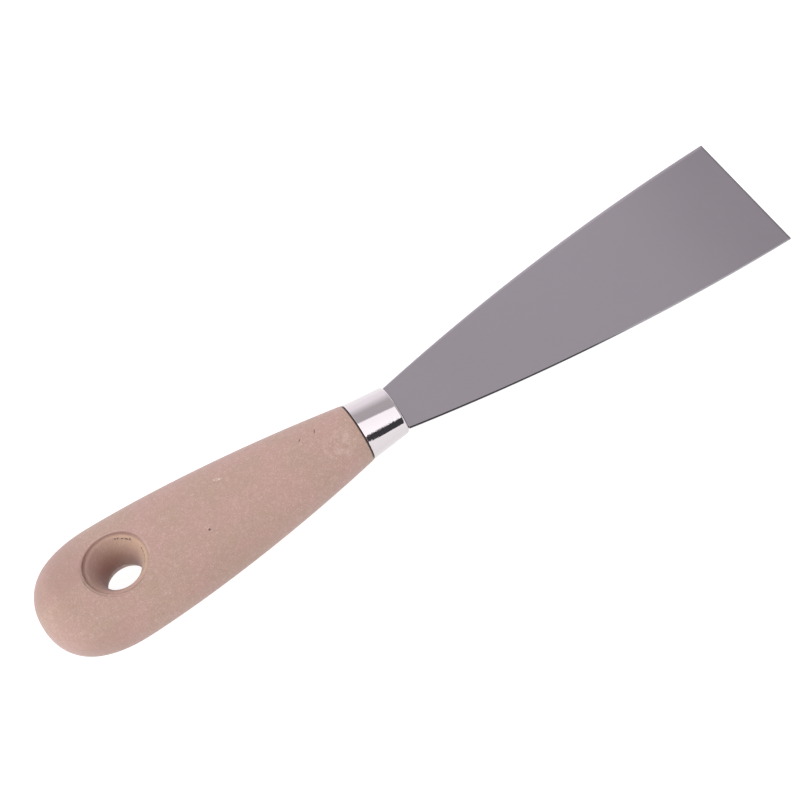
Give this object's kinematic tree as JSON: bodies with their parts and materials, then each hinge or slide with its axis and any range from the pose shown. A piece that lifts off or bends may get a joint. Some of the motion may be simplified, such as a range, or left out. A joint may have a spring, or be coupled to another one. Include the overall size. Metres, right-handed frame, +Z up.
{
  "type": "flexible putty knife",
  "caption": "Hand knife for spreading filler: a thin fan-shaped spring-steel blade in a plated ferrule on a flat oval handle with a countersunk hanging hole.",
  "frame": {"origin": "on the surface the knife lies on, under the middle of its bounding box", "axes": "+X from the handle's butt towards the blade's edge, +Z up, Y across the blade; the knife lies with the handle's neck and the blade's tip on Z = 0, so its own axis dips towards +X"},
  "size_m": [0.2188, 0.04, 0.0228],
  "materials": {
    "handle_wood": "matte, fine stipple",
    "ferrule_plate": "bright nickel plate",
    "blade_steel": "fine satin, hardened",
    "resin": "cured resin"
  },
  "bodies": {
    "root": {"handle": "handle_wood", "ferrule": "ferrule_plate", "blade": "blade_steel", "tang_adhesive": "resin"}
  },
  "joints": []
}
